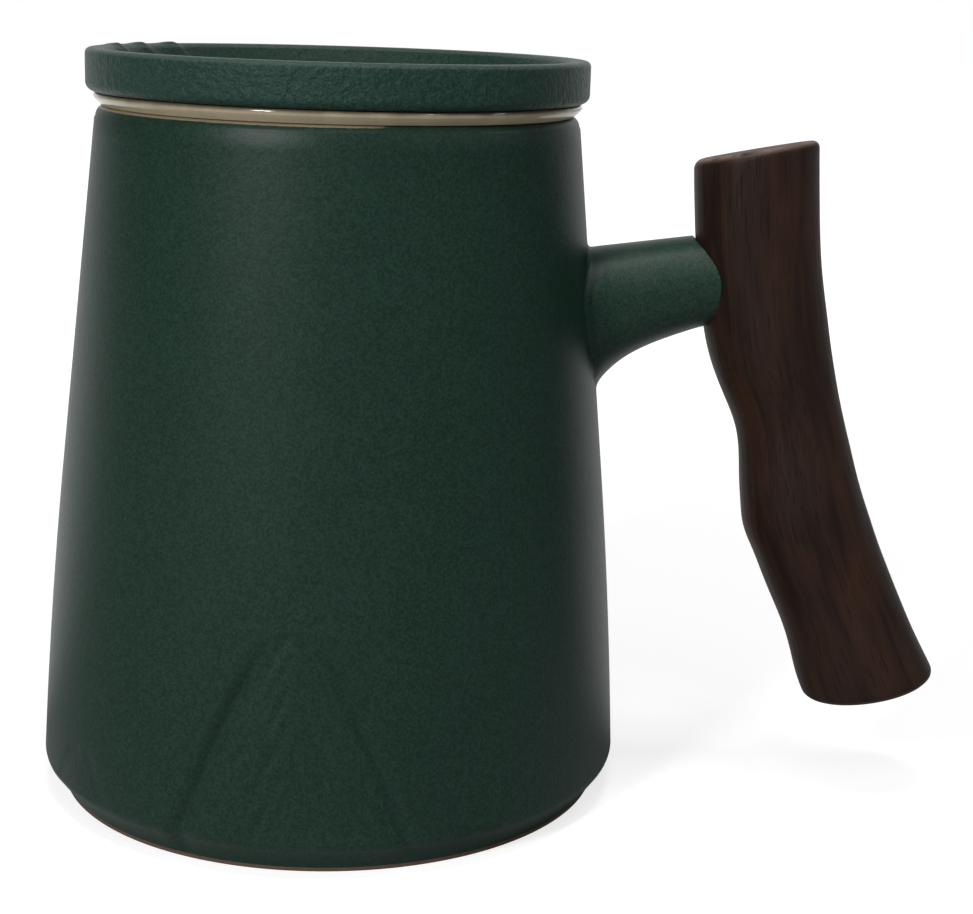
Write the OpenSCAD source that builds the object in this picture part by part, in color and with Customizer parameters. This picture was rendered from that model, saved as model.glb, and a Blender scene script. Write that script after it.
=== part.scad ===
// Tapered stoneware tea mug with a drop-in ceramic infuser, a dished lid
// and a branch-shaped wooden grip on a short ceramic neck.
// Millimetres. +Z is up, the mug's axis is Z, it stands on Z = 0, and the grip lies towards +X.

/* [Cup] */
// Height of the cup from the table to its lip
cup_h = 124.7; // [115:0.1:140]
// Outer diameter at the lip
lip_d = 86.6; // [82:0.2:92]
// Outer diameter at the base, at the bevel's upper edge
base_d = 107.4; // [102:0.2:112]
// Height of the bevel's upper edge above the table
bevel_z = 5.6; // [3.5:0.1:8]
// How far the wall curves in towards the base, from the straight cone above
wall_tuck = 1.4; // [0:0.1:3]
// Height at which that curve begins
tuck_z = 60; // [45:1:80]
// Thickness of the cup's wall
cup_wall = 4; // [3.2:0.1:5]
// Thickness of the cup's floor
cup_floor = 6; // [4.5:0.5:9]
// Radius of the corner inside, between wall and floor
cup_corner_r = 9; // [5:0.5:14]
// Rounding of the lip's outer edge
lip_round = 1.9; // [0.6:0.1:2]
// Rounding of the lip's inner edge
lip_round_in = 0.9; // [0.4:0.1:1.1]
// Diameter of the unglazed foot
foot_d = 100.2; // [94:0.2:102]
// Height of the unglazed foot band
foot_h = 0.8; // [0.5:0.1:1.5]

/* [Neck] */
// Height of the neck's axis above the table, where it meets the grip
neck_z = 95.5; // [85:0.5:102]
// Length of the neck from the cup's wall to the grip
neck_len = 20.1; // [16:0.1:26]
// Height of the neck at the grip
neck_h = 17; // [14:0.2:19]
// Width of the neck at the grip
neck_w = 17.2; // [14:0.2:18.4]
// Upward slope of the neck's axis towards the grip, in degrees
neck_rise = 13.4; // [8:0.2:16]
// Growth of the neck's half height towards the cup, in mm for each mm
neck_taper = 0.0925; // [0.04:0.0025:0.14]
// Depth of the flare under the neck's root
flare_d = 5.5; // [3:0.1:8]
// Length over which the flare fades out
flare_len = 4.4; // [2.4:0.2:5.6]

/* [Grip] */
// Thickness of the branch
grip_d = 22.8; // [20:0.2:26]
// Length of the grip along its axis
grip_len = 105.2; // [92:0.2:112]
// Length of the grip above the neck's axis
grip_above = 24.4; // [20:0.2:30]
// Lean of the grip at the neck, in degrees
grip_lean = 8.2; // [4:0.2:12]
// Radius of the grip's curve
grip_bend_r = 225; // [190:5:320]
// Slope of the cut at the top, rising outwards, in degrees
top_cut = 11.3; // [0:0.1:15]
// Slope of that cut from side to side, falling towards +Y, in degrees
top_side_cut = 4.3; // [-4:0.1:8]
// Slope of the cut at the lower end, rising outwards, in degrees
toe_cut = 13.5; // [8:0.5:28]
// How much thinner the branch is at the finger waist
waist_cut = 2.75; // [0:0.25:4]
// Distance of the finger waist from the top
waist_at = 50.5; // [44:0.5:58]
// Reach of the finger waist along the branch, to each side
waist_len = 9.8; // [7:0.2:13]
// How much the branch swells at the knot
knot_h = 0.5; // [0:0.1:1.5]
// Distance of the knot from the top
knot_at = 68; // [62:1:76]
// Reach of the knot along the branch, to each side
knot_len = 4; // [3:0.5:7]
// How much thinner the branch is between the knot and its lower end
shank_cut = 0.45; // [0:0.05:2]
// Distance of that thinner stretch from the top
shank_at = 87; // [82:1:92]
// Reach of that thinner stretch, to each side
shank_len = 9; // [6:0.5:12]
// How much the branch swells at its lower end
toe_swell = 1.3; // [0:0.1:2]
// Reach of that swelling along the branch
toe_len = 11; // [4:0.5:14]
// Rounding of the grip's end edges
grip_round = 1.6; // [0.8:0.1:2.5]

/* [Fixing] */
// Outer diameter of the steel stud's thread
stud_d = 5; // [4:0.5:6]
// Pitch of the stud's thread
stud_pitch = 0.8; // [0.7:0.05:1]
// Depth of one thread groove
stud_groove = 0.45; // [0.3:0.05:0.5]
// Length of the stud that sits in the wood
stud_in_wood = 15; // [10:0.5:17]
// Length of the stud that sits in the neck
stud_in_neck = 12.5; // [9:0.5:14]
// Diameter of the bore in the ceramic neck
neck_bore_d = 7; // [6.6:0.2:9]
// Room left past each end of the stud
stud_end_room = 0.8; // [0.4:0.1:1.5]
// Thickness of the cement between the neck and the grip
bond_t = 0.3; // [0.2:0.05:0.5]
// Gap that keeps bonded surfaces apart
bond_play = 0.04; // [0.02:0.01:0.06]

/* [Infuser] */
// Height of the infuser from its base to the top of its flange
infuser_h = 70; // [55:1:85]
// Thickness of the infuser's wall
infuser_wall = 2.4; // [2:0.1:3]
// Thickness of the infuser's base
infuser_floor = 2.6; // [2:0.1:4]
// Taper of the basket on each side, in degrees
infuser_draft = 5; // [2:0.5:7]
// Rounding of the basket's lower corner
infuser_corner_r = 6; // [4:0.5:9]
// Radial room between the basket and the cup's mouth
infuser_play = 0.6; // [0.4:0.1:1]
// Thickness of the flange
flange_t = 2.4; // [1.8:0.1:3]
// How far the flange's edge reaches past the cup's lip
flange_proud = 0.4; // [0:0.1:0.8]
// How much further in the flange's underside stays
flange_undercut = 1.4; // [0.6:0.1:1.8]
// Rounding of the flange's upper edge
flange_round = 0.4; // [0.3:0.1:0.9]
// Rounding of the infuser's mouth
mouth_round = 0.7; // [0.4:0.1:1]
// Diameter of the straining holes
hole_d = 2.4; // [1.8:0.1:3]
// Number of rows of holes in the wall
hole_rows = 5; // [2:1:6]
// Number of holes in each row of the wall
holes_round = 24; // [12:1:28]
// Distance between neighbouring rows
hole_pitch = 6.5; // [5.5:0.1:7.5]
// Number of hole rings in the base, round the middle hole
base_rings = 3; // [1:1:3]

/* [Lid] */
// Diameter of the lid
lid_d = 90; // [86:0.5:96]
// Height of the lid without its locating ring
lid_h = 7.5; // [6.5:0.1:10]
// Depth of the dish in the lid's top
dish_depth = 3.5; // [2:0.1:3.9]
// Width of the lid's rim where it starts to slope into the dish
rim_w = 2.4; // [1.8:0.1:4]
// Width of the slope from the rim into the dish
dish_slope_w = 4.5; // [2:0.5:8]
// Rounding of the rim's top outer edge
rim_round = 1; // [0.6:0.1:1.7]
// Rounding of the lid's bottom edge
lid_round = 1.6; // [0.6:0.1:2]
// Depth of the locating ring under the lid
ring_h = 2.2; // [1.5:0.1:6]
// Width of the locating ring
ring_w = 3; // [2.4:0.1:4]
// Rounding of the locating ring's lower edge
ring_round = 0.5; // [0.3:0.1:1.1]
// Radial room between the locating ring and the infuser
ring_play = 0.8; // [0.5:0.1:1.5]

/* [Hidden] */

GREEN = [0.10, 0.21, 0.18];
WOOD = [0.20, 0.11, 0.08];
STEEL = [0.72, 0.73, 0.75];
CEMENT = [0.62, 0.58, 0.50];
TAN = [0.62, 0.52, 0.41];

ROUND_STEPS = 5;      // segments in a small quarter round
WALL_STEP = 4;        // height of one segment of the wall's curve
GRIP_SIDES = 32;
GRIP_RINGS = 34;
NECK_SIDES = 32;
NECK_RINGS = 14;
SMOOTH = 96;
THREAD_SMOOTH = 32;
HOLE_SMOOTH = 24;
HOLE_MARGIN = 0.5;    // of a ring's pitch, left free at the edge of the infuser's base
CUT_OVER = 1;         // how far a cutting shape runs past the face that it cuts
EPS = 0.01;

// Shares that shape the neck
FLARE_HOLD = 0.4;     // of the flare's length, over which it keeps its full depth
FLARE_SIDE = 0.3;     // of the flare's depth, by which it also widens
SIDE_TAPER = 0.6;     // of the taper, by which the neck also widens
RING_CROWDING = 1.4;  // rings of the neck lie closer together near the cup

lip_r = lip_d / 2;
base_r = base_d / 2;
foot_r = foot_d / 2;
lid_r = lid_d / 2;
grip_r = grip_d / 2;

// The wall is a straight cone from the lip down to tuck_z, and curves in below it.
wall_slope = (base_r + wall_tuck - lip_r) / (cup_h - bevel_z);

// Outer radius of the cup at height z, above the bevel
function cup_r(z) =
    lip_r + (cup_h - z) * wall_slope
    - wall_tuck * pow(max(0, tuck_z - z) / (tuck_z - bevel_z), 2);

// Points of a quarter round about a centre, from one angle to another
function quarter(centre, r, from, to) =
    [for (i = [0:ROUND_STEPS]) centre + r * [cos(from + (to - from) * i / ROUND_STEPS),
                                             sin(from + (to - from) * i / ROUND_STEPS)]];

// Heights along the wall's curve, from low to high, with both ends
function wall_heights(low, high) =
    let (n = ceil((high - low) / WALL_STEP))
    [for (i = [0:n]) low + (high - low) * i / n];

// Infuser and lid sit one on the other, on the cup's lip.
flange_r = lip_r + flange_proud;
lid_z = cup_h + flange_t;
basket_r = lip_r - cup_wall - infuser_play;
basket_z = lid_z - infuser_h;
basket_inner_r = basket_r - infuser_wall;
ring_r = basket_inner_r - ring_play;
lid_top = lid_z + lid_h;
dish_z = lid_top - dish_depth;

// Outer radius of the basket at height z
function basket_r_at(z) = basket_r - (cup_h - z) * tan(infuser_draft);

// The grip's axis is an arc that starts steep and leans outwards below.
grip_x = cup_r(neck_z) + neck_len + grip_r;
seat_x = grip_x - grip_r;
seat_r = grip_r + bond_t;
seat_over = grip_r / 2;  // how far the neck runs on before the grip's seat is cut from it
function grip_angle(s) = grip_lean + (s - grip_above) / grip_bend_r * 180 / PI;
function grip_axis(s) =
    [grip_x + grip_bend_r * (cos(grip_lean) - cos(grip_angle(s))),
     neck_z - grip_bend_r * (sin(grip_angle(s)) - sin(grip_lean))];

// Swellings (+) and waists (-) of the branch: distance from the top, reach, height
SWELLS = [[waist_at, waist_len, -waist_cut],
          [knot_at, knot_len, knot_h],
          [shank_at, shank_len, -shank_cut],
          [grip_len, toe_len, toe_swell]];
function bell(u) = exp(-u * u);
function swell(s, i = 0) =
    i == len(SWELLS) ? 0 : SWELLS[i][2] * bell((s - SWELLS[i][0]) / SWELLS[i][1]) + swell(s, i + 1);
function grip_r_at(s) = grip_r + swell(s) / 2;
// The outer side stays a plain arc, so the branch's middle moves as it swells.
function grip_mid(s) = grip_axis(s) - swell(s) / 2 * [cos(grip_angle(s)), sin(grip_angle(s))];

// Each ring turns from the cut's slope to square across the axis within this length.
CUT_FADE = 20;
function fade(u) = u >= 1 ? 0 : pow(1 - u, 2) * (1 + 2 * u);
function ring_tilt(s) =
    grip_angle(s)
    + (top_cut - grip_angle(0)) * fade(s / CUT_FADE)
    + (toe_cut - grip_angle(grip_len)) * fade((grip_len - s) / CUT_FADE);

// One ring of the grip, at distance s from the top and drawn in by inset
function grip_ring(s, inset) =
    let (mid = grip_mid(s),
         tilt = ring_tilt(s),
         half_chord = grip_r_at(s) / cos(tilt - grip_angle(s)) - inset,
         half_depth = grip_r_at(s) - inset,
         side_slope = tan(top_side_cut) * fade(s / CUT_FADE))
    [for (i = [0:GRIP_SIDES - 1])
        let (turn = 360 * i / GRIP_SIDES, across = half_chord * cos(turn), y = half_depth * sin(turn))
        [mid[0] + across * cos(tilt), y, mid[1] + across * sin(tilt) - y * side_slope]];

// Distance from the top, and inset, of every ring: rounded end, body, rounded end
grip_end = quarter([grip_round, grip_round], grip_round, 180, 270);
grip_stations = concat(
    grip_end,
    [for (i = [1:GRIP_RINGS - 1]) [grip_round + (grip_len - 2 * grip_round) * i / GRIP_RINGS, 0]],
    [for (i = [ROUND_STEPS:-1:0]) [grip_len - grip_end[i][0], grip_end[i][1]]]);

// The neck's own outline, at distance x from the mug's axis
neck_root_x = cup_r(neck_z);
neck_start_x = neck_root_x - cup_wall / 2;
neck_end_x = seat_x + seat_over;
flare_x = neck_root_x + flare_len * FLARE_HOLD;
function neck_flare(x) = flare_d * exp(-max(0, x - flare_x) / flare_len);
function neck_mid(x) = neck_z - (seat_x - x) * tan(neck_rise);
function neck_half_h(x) = neck_h / 2 + max(0, seat_x - x) * neck_taper;
function neck_half_w(x) = neck_w / 2 + max(0, seat_x - x) * neck_taper * SIDE_TAPER;
function neck_ring(x) =
    [for (i = [0:NECK_SIDES - 1])
        let (turn = 360 * i / NECK_SIDES, under = max(0, -sin(turn)) * neck_flare(x))
        [x,
         (neck_half_w(x) + neck_flare(x) * FLARE_SIDE) * cos(turn),
         neck_mid(x) + neck_half_h(x) * sin(turn) - under]];

// A closed solid through rings with as many points each
module loft(rings) {
    n = len(rings[0]);
    last = len(rings) - 1;
    polyhedron(
        points = [for (ring = rings) each ring],
        faces = concat(
            [[for (i = [0:n - 1]) i]],
            [for (k = [0:last - 1]) for (i = [0:n - 1])
                [k * n + i, (k + 1) * n + i, (k + 1) * n + (i + 1) % n, k * n + (i + 1) % n]],
            [[for (i = [n - 1:-1:0]) last * n + i]]));
}

// A rod along X between two distances from the mug's axis, at the neck's height
module neck_rod(r, from, to) {
    translate([from, 0, neck_z])
        rotate([0, 90, 0])
            cylinder(h = to - from, r = r, $fn = SMOOTH);
}

// A round bar along the grip's axis at the neck
module seat_bar(r) {
    translate([grip_x, 0, neck_z])
        rotate([0, -grip_lean, 0])
            cylinder(h = 2 * neck_h + 2 * flare_d, r = r, center = true, $fn = SMOOTH);
}

module cup_outer_profile() {
    polygon(concat(
        [[0, 0], [foot_r, 0], [foot_r, foot_h]],
        [for (z = wall_heights(bevel_z, tuck_z)) [cup_r(z), z]],
        quarter([lip_r - lip_round, cup_h - lip_round], lip_round, 0, 90),
        [[0, cup_h]]));
}

module cup_inner_profile() {
    inner_lip_r = lip_r - cup_wall;
    corner_z = cup_floor + cup_corner_r;
    polygon(concat(
        [[0, cup_floor]],
        quarter([cup_r(corner_z) - cup_wall - cup_corner_r, corner_z], cup_corner_r, -90, 0),
        [for (z = wall_heights(corner_z + WALL_STEP, tuck_z)) [cup_r(z) - cup_wall, z]],
        quarter([inner_lip_r + lip_round_in, cup_h - lip_round_in], lip_round_in, 180, 90),
        [[inner_lip_r + lip_round_in, cup_h + CUT_OVER], [0, cup_h + CUT_OVER]]));
}

// Stoneware cup and its neck, fired in one piece
module cup_body() {
    color(GREEN)
        difference() {
            union() {
                rotate_extrude($fn = SMOOTH) cup_outer_profile();
                loft([for (i = [0:NECK_RINGS])
                    let (along = pow(i / NECK_RINGS, RING_CROWDING))
                    neck_ring(neck_start_x + (neck_end_x - neck_start_x) * along)]);
            }
            rotate_extrude($fn = SMOOTH) cup_inner_profile();
            seat_bar(seat_r);
            neck_rod(neck_bore_d / 2, seat_x - stud_in_neck - stud_end_room, grip_x);
        }
}

// Branch-shaped wooden grip
module handle_grip() {
    color(WOOD)
        difference() {
            loft([for (station = grip_stations) grip_ring(station[0], station[1])]);
            neck_rod(stud_d / 2 + bond_play, seat_x - grip_r, seat_x + stud_in_wood + stud_end_room);
        }
}

// Threaded steel stud, with its thread drawn as rings
module handle_stud() {
    from = seat_x - stud_in_neck;
    turns = floor((stud_in_neck + stud_in_wood) / stud_pitch);
    crest_r = stud_d / 2;
    color(STEEL)
        translate([from, 0, neck_z])
            rotate([0, 90, 0])
                rotate_extrude($fn = THREAD_SMOOTH)
                    polygon(concat(
                        [[0, 0]],
                        [for (i = [0:turns - 1]) each [
                            [crest_r - stud_groove, i * stud_pitch],
                            [crest_r, (i + 0.5) * stud_pitch]]],
                        [[crest_r - stud_groove, turns * stud_pitch],
                         [crest_r - stud_groove, stud_in_neck + stud_in_wood],
                         [0, stud_in_neck + stud_in_wood]]));
}

// Cement round the stud in the neck, and the saddle of it between neck and grip
module handle_cement() {
    bore_end = seat_x - stud_in_neck - stud_end_room;
    color(CEMENT)
        difference() {
            union() {
                neck_rod(neck_bore_d / 2 - bond_play, bore_end + bond_play, seat_x + seat_over);
                intersection() {
                    neck_rod(min(neck_h, neck_w) / 2 - bond_t, seat_x - bond_t - EPS, grip_x);
                    seat_bar(seat_r - bond_play);
                }
            }
            seat_bar(grip_r + bond_play);
            neck_rod(stud_d / 2 + bond_play, seat_x - stud_in_neck - bond_play, grip_x);
        }
}

module infuser_profile() {
    corner_r = basket_r_at(basket_z + infuser_corner_r) - infuser_corner_r;
    inner_corner_r = infuser_corner_r - infuser_wall;
    floor_z = basket_z + infuser_floor;
    inner_z = floor_z + inner_corner_r;
    inner_base_r = basket_r_at(inner_z) - infuser_wall;
    edge_slope = atan2(flange_undercut, flange_t - flange_round);
    polygon(concat(
        [[0, basket_z]],
        quarter([corner_r, basket_z + infuser_corner_r], infuser_corner_r, -90, 0),
        [[basket_r, cup_h]],
        [[flange_r - flange_undercut, cup_h]],
        quarter([flange_r - flange_round, lid_z - flange_round], flange_round, -edge_slope, 90),
        quarter([basket_inner_r + mouth_round, lid_z - mouth_round], mouth_round, 90, 180),
        [[basket_inner_r, cup_h]],
        quarter([inner_base_r - inner_corner_r, inner_z], inner_corner_r, 0, -90),
        [[0, floor_z]]));
}

// Straining holes, in rows round the wall and in rings in the base
module infuser_holes() {
    first_z = basket_z + infuser_corner_r + hole_d;
    for (row = [0:hole_rows - 1], i = [0:holes_round - 1])
        rotate([0, 0, 360 * (i + row % 2 / 2) / holes_round])
            translate([basket_r / 2, 0, first_z + row * hole_pitch])
                rotate([0, 90, 0])
                    cylinder(h = basket_r, r = hole_d / 2, $fn = HOLE_SMOOTH);
    base_pitch = (basket_r_at(basket_z) - infuser_corner_r) / (base_rings + HOLE_MARGIN);
    for (ring = [0:base_rings], i = [0:max(1, 6 * ring) - 1])
        rotate([0, 0, 360 * i / max(1, 6 * ring)])
            translate([ring * base_pitch, 0, basket_z - CUT_OVER])
                cylinder(h = infuser_floor + 2 * CUT_OVER, r = hole_d / 2, $fn = HOLE_SMOOTH);
}

// Drop-in ceramic strainer that hangs by its flange on the cup's lip
module infuser_basket() {
    color(TAN)
        difference() {
            rotate_extrude($fn = SMOOTH) infuser_profile();
            infuser_holes();
        }
}

// Dished lid with a locating ring that drops into the infuser
module lid() {
    rim_inner_r = lid_r - rim_w;
    color(GREEN)
        rotate_extrude($fn = SMOOTH)
            polygon(concat(
                [[0, lid_z], [ring_r - ring_w, lid_z], [ring_r - ring_w, lid_z - ring_h]],
                quarter([ring_r - ring_round, lid_z - ring_h + ring_round], ring_round, -90, 0),
                [[ring_r, lid_z]],
                quarter([lid_r - lid_round, lid_z + lid_round], lid_round, -90, 0),
                quarter([lid_r - rim_round, lid_top - rim_round], rim_round, 0, 90),
                [for (i = [0:ROUND_STEPS * 2]) let (u = i / ROUND_STEPS / 2)
                    [rim_inner_r - dish_slope_w * u, lid_top - dish_depth * u * u * (3 - 2 * u)]],
                [[0, dish_z]]));
}

cup_body();
handle_grip();
handle_stud();
handle_cement();
infuser_basket();
lid();
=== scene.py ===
import math

import bmesh
import bpy
from mathutils import Matrix, Vector, noise
from mathutils.kdtree import KDTree


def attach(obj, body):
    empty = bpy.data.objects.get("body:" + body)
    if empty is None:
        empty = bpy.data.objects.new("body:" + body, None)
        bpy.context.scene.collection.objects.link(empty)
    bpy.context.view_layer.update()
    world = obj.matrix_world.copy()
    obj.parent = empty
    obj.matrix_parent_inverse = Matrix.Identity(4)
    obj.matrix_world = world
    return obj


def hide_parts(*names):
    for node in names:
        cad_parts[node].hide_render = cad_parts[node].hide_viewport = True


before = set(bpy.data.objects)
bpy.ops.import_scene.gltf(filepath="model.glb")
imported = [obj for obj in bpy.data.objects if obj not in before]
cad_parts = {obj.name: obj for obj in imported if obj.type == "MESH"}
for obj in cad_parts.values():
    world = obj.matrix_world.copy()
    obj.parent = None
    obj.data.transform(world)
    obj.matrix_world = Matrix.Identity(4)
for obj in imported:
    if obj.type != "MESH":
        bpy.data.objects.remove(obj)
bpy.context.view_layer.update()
scene = bpy.context.scene

# Every size below is in millimetres, and each mesh is brought to metres once, when it is finished.
# _R is a radius, _H a height, _Z a height over the table, _W a width and _T a thickness.
MM = 0.001

# Cup
CUP_H = 124.7
LIP_R = 43.3
BASE_R = 53.7
BEVEL_Z = 5.6
WALL_TUCK = 1.4  # how far the wall's foot stands back, from nothing at TUCK_Z
TUCK_Z = 60.0
CUP_WALL = 4.0
CUP_FLOOR = 6.0
CUP_CORNER_R = 9.0
LIP_ROUND = 1.9
LIP_ROUND_IN = 0.9
WALL_TOP_Z = CUP_H - LIP_ROUND - 0.4
FOOT_R = 50.1
FOOT_H = 0.8
FOOT_ROUND = 0.35
BEVEL_ROUND = 0.8
CUP_SIDES = 288  # this and the other _SIDES are the faces in one turn

# Neck
NECK_Z = 95.5
NECK_LEN = 20.1
NECK_H = 17.0
NECK_W = 17.2
NECK_RISE = math.radians(13.4)
NECK_TAPER = 0.0925
SIDE_TAPER = 0.6
FLARE_D = 5.5  # how much deeper the neck is at its root
FLARE_LEN = 4.4
FLARE_HOLD = 0.4  # share of FLARE_LEN before the flare begins to fade
FLARE_SIDE = 0.3  # share of the flare that widens the neck
NECK_BORE_R = 3.5
BOND_T = 0.3
STUD_R = 2.54
STUD_IN_WOOD = 15.8
STUD_IN_NECK = 13.3
NECK_SIDES = 96
FLARED_LEN = 9.0  # the neck's rings lie closer together up to here
SEAT_REACH = 26.0  # half length of the bar that copes the neck for the grip
NECK_ZONE_W = 17.0
NECK_ZONE_Z = (68.0, 108.0)
ROOT_REACH = 6.0  # the corner between neck and wall lies no further out than this
ROOT_CREASE = math.radians(18)
ROOT_ROUND = 1.5

# Grip
GRIP_R = 11.4
GRIP_LEN = 105.2
GRIP_ABOVE = 24.4
GRIP_LEAN = math.radians(8.2)
GRIP_BEND_R = 225.0
TOP_CUT = math.radians(11.3)
TOP_SIDE_CUT = math.radians(4.3)
TOE_CUT = math.radians(13.5)
CUT_FADE = 20.0  # the slant of an end fades out over this length of the branch
END_GRAIN_T = 0.8
SEAT_HALF_LEN = 13.0  # the branch is left round where it lies on the neck
GRIP_ROUND = 1.6
GRIP_SIDES = 80
SHAVED_DEPTH = 0.10
HEWN_PITCH = 16.0
HEWN_DEPTH = 0.14
RIPPLE_PITCH = 9.0
RIPPLE_DEPTH = 0.08
SWELLS = (  # distance from the top, reach, how much thicker
    (50.5, 9.8, -2.75),
    (68.0, 4.0, 0.5),
    (87.0, 9.0, -0.45),
    (GRIP_LEN, 11.0, 1.3),
)

# Infuser
INFUSER_H = 70.0
INFUSER_WALL = 2.4
INFUSER_FLOOR = 2.6
INFUSER_DRAFT = math.tan(math.radians(5))
INFUSER_CORNER_R = 6.0
INFUSER_PLAY = 0.6
FLANGE_T = 2.4
FLANGE_PROUD = 0.4
FLANGE_UNDERCUT = 1.4
FLANGE_ROUND = 0.7
FLANGE_FOOT_ROUND = 0.35
FLANGE_FOOT_IN = 0.15
MOUTH_ROUND = 0.7
INFUSER_SIDES = 240
HOLE_R = 1.2
HOLE_ROWS = 5
HOLES_ROUND = 24
HOLE_PITCH = 6.5
HOLE_SIDES = 20
BASE_RINGS = 3
LID_Z = CUP_H + FLANGE_T
BASKET_R = LIP_R - CUP_WALL - INFUSER_PLAY
BASKET_Z = LID_Z - INFUSER_H

# Lid
LID_R = 45.0
LID_H = 7.5
LID_TOP_Z = LID_Z + LID_H
DISH_DEPTH = 3.5
RIM_W = 2.4
DISH_SLOPE_W = 4.5
RIM_ROUND = 1.0
LID_ROUND = 1.6
RING_H = 2.2
RING_W = 3.0
RING_ROUND = 0.5
RING_PLAY = 0.8
LID_SIDES = 360
RIM_LINE_DROP = 0.35  # the pale line, thin glaze and a painted highlight, lies this far below the rim's top

# Carved mountains round the cup's foot: direction in degrees from -Y towards +X, height of the
# peak, half width at the foot, and how many more arches are nested in it
MOUNTAINS = (
    (-2.0, 45.0, 20.0, 6),
    (-50.0, 16.5, 8.5, 3),
    (178.0, 45.0, 20.0, 6),
    (130.0, 16.5, 8.5, 3),
)
CARVE_FOOT = 5.8
CARVE_TOP = 50.0  # nothing is carved above this
CARVE_SIDE = 4.0  # nor further than this from a mountain's foot
MIDDLE_W = 2.0  # the left flank turns into the right one within this of the middle
WAVER = 0.35  # how far the lines leave their place, and over which height
WAVER_PITCH = 7.0
FLANK_POWER = 0.72
FULL_HALF_W = 20.0  # a mountain this wide is cut to the full depth
ARCH_PITCH = 2.7
ARCH_FULL_HALF_W = 16.0  # narrower mountains have their arches closer together
ARCH_CUT_W = 0.85
ARCH_UNEVEN_PITCH = 6.0
OUTLINE_CUT_W = 1.35
SOFT_OUTLINE_CUTS = ((0.7, 2.1), (0.3, 4.0))  # share of the depth, width
LEAST_DEPTH = 0.05
OUTLINE_DEPTH = 0.95
ARCH_DEPTH = 0.19

# Ridges that run from the lid's rim into its dish: direction at the rim in degrees from +X towards
# +Y, and the direction that they reach further in
LID_RIDGES = ((171.0, 167.0), (158.5, 153.0), (147.0, 139.0))
RIDGE_TURN_LEN = 12.0  # it reaches that direction at this distance from the rim
RIDGE_W = 1.15
RIDGE_FAR_W = 1.7  # width of its other side
RIDGE_RIM_H = 0.30
RIDGE_MORE_H = 0.35  # what it gains past the rim
RIDGE_FADE_FROM = 8.0
RIDGE_FADE_LEN = 13.0
RIDGE_LEN = 22.0

# Studio: the camera's place is in metres
FLOOR_R = 3000
LENS = 73.36
SHIFT = (-0.03443, -0.05858)
CAMERA_PLACE = (0.0341624, -0.3612108, 0.146657)
CAMERA_TILT = math.radians(90 - 11.668)
CAMERA_ROLL = math.radians(1.855)

WALL_SLOPE = (BASE_R + WALL_TUCK - LIP_R) / (CUP_H - BEVEL_Z)


def cup_r(z):
    """Outer radius of the cup at height z, above the bevel."""
    tuck = max(0.0, TUCK_Z - z) / (TUCK_Z - BEVEL_Z)
    return LIP_R + (CUP_H - z) * WALL_SLOPE - WALL_TUCK * tuck**2


def mid_wall_r(z):
    """Radius of the middle of the cup's wall at height z."""
    return cup_r(max(z, BEVEL_Z)) - CUP_WALL / 2


NECK_ROOT_X = cup_r(NECK_Z)
SEAT_X = NECK_ROOT_X + NECK_LEN
GRIP_X = SEAT_X + GRIP_R


def off_axis(point):
    """Distance of a point from the mug's axis."""
    return math.hypot(point.x, point.y)


def direction_of(point):
    """Direction of a point from the mug's axis, in degrees from -Y towards +X."""
    return math.degrees(math.atan2(point.x, -point.y))


def turned_from(direction, centre):
    """Degrees from one direction to another, between -180 and 180."""
    return (direction - centre + 180) % 360 - 180


def steps(low, high, pitch):
    """Numbers from low to high, both ends in, at most pitch apart."""
    count = max(1, math.ceil(abs(high - low) / pitch))
    return [low + (high - low) * i / count for i in range(count + 1)]


def bell(u):
    return math.exp(-u * u)


def rise(u):
    """Goes smoothly from 0 to 1 as u does, and stays there."""
    u = min(1.0, max(0.0, u))
    return u * u * (3 - 2 * u)


def fade(u):
    return 1 - rise(u)


def quarter(radius, height, r, start, end, pitch=0.5):
    """Points of a round in a profile, from one angle to another in degrees."""
    return [
        (radius + r * math.cos(math.radians(a)), height + r * math.sin(math.radians(a)))
        for a in steps(start, end, math.degrees(pitch / r))
    ]


# ---------------------------------------------------------------- tools for meshes


def revolve(bm, profile, sides):
    """Spins a profile of radii and heights round Z and closes its poles."""
    verts = [bm.verts.new((r, 0, z)) for r, z in profile]
    edges = [bm.edges.new(pair) for pair in zip(verts, verts[1:])]
    bmesh.ops.spin(
        bm,
        geom=verts + edges,
        cent=(0, 0, 0),
        axis=(0, 0, 1),
        dvec=(0, 0, 0),
        angle=2 * math.pi,
        steps=sides,
        use_merge=True,
    )
    bmesh.ops.remove_doubles(bm, verts=bm.verts, dist=0.001)
    bmesh.ops.recalc_face_normals(bm, faces=bm.faces)


# Widths of the rings that close an end, each as a share of the ring before it
END_SHARES = (0.8, 0.75, 0.7, 0.6, 0.4, 0.0)


def close_end(bm, ring, layer):
    """Closes a ring by narrower rings round a point, and keeps a vector of each vertex in step."""
    for share in END_SHARES:
        made = bmesh.ops.extrude_edge_only(bm, edges=ring)["geom"]
        verts = [v for v in made if isinstance(v, bmesh.types.BMVert)]
        middle = sum((v.co for v in verts), Vector()) / len(verts)
        centre = sum((v[layer] for v in verts), Vector()) / len(verts)
        for v in verts:
            v.co = middle.lerp(v.co, share)
            v[layer] = centre.lerp(v[layer], share)
        edges = [e for e in made if isinstance(e, bmesh.types.BMEdge)]
        ring = [e for e in edges if all(v in verts for v in e.verts)]
    bmesh.ops.pointmerge(bm, verts=verts, merge_co=middle)


def skin(bm, rings, layer):
    """Bridges a row of rings of edges and closes the first and the last."""
    for ring, after in zip(rings, rings[1:]):
        bmesh.ops.bridge_loops(bm, edges=ring + after)
    for ring in (rings[0], rings[-1]):
        close_end(bm, ring, layer)
    bmesh.ops.recalc_face_normals(bm, faces=bm.faces)


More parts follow.
